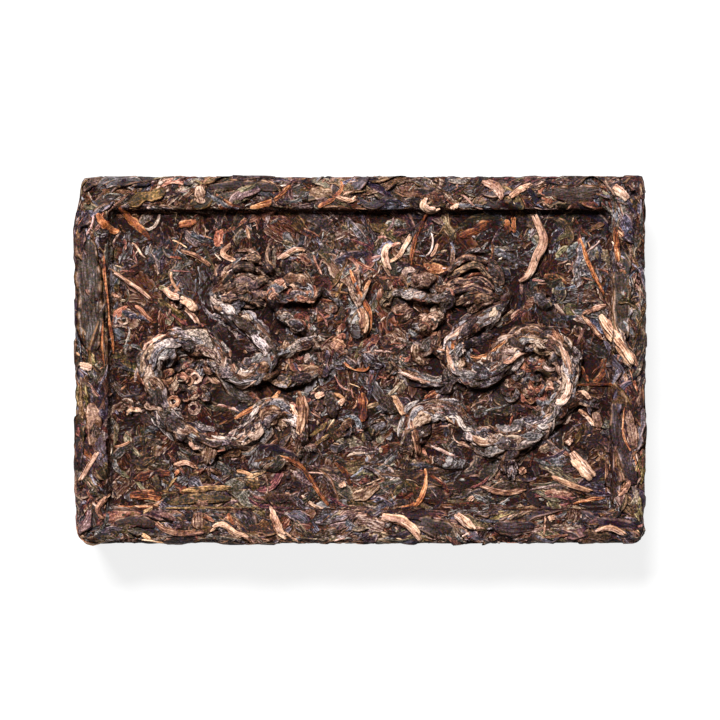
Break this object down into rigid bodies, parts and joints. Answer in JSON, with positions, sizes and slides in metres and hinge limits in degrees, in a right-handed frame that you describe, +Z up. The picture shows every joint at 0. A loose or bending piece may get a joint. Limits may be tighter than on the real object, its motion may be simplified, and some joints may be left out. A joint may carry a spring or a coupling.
{
  "type": "pressed tea brick",
  "caption": "Rectangular brick of pressed dark tea leaf with a raised rim and a sunken panel of twin dragons facing a flaming pearl in relief.",
  "frame": {"origin": "middle of the brick's box, on the flat face it rests on", "axes": "+X along the brick's length, to the right in the picture; +Y across it, to the picture's top; +Z up, out of the face with the relief"},
  "size_m": [0.1412, 0.091, 0.025],
  "materials": {
    "pressed_tea": "dry pressed leaf, dark brown, satin",
    "dark_leaf": "twisted dark leaf, satin",
    "brown_leaf": "brown leaf, satin",
    "rust_leaf": "rust-brown leaf and bark, dry",
    "pale_stem": "pale woody stem, dry and fibrous"
  },
  "bodies": {
    "root": {"tea_brick": "pressed_tea"}
  },
  "joints": []
}
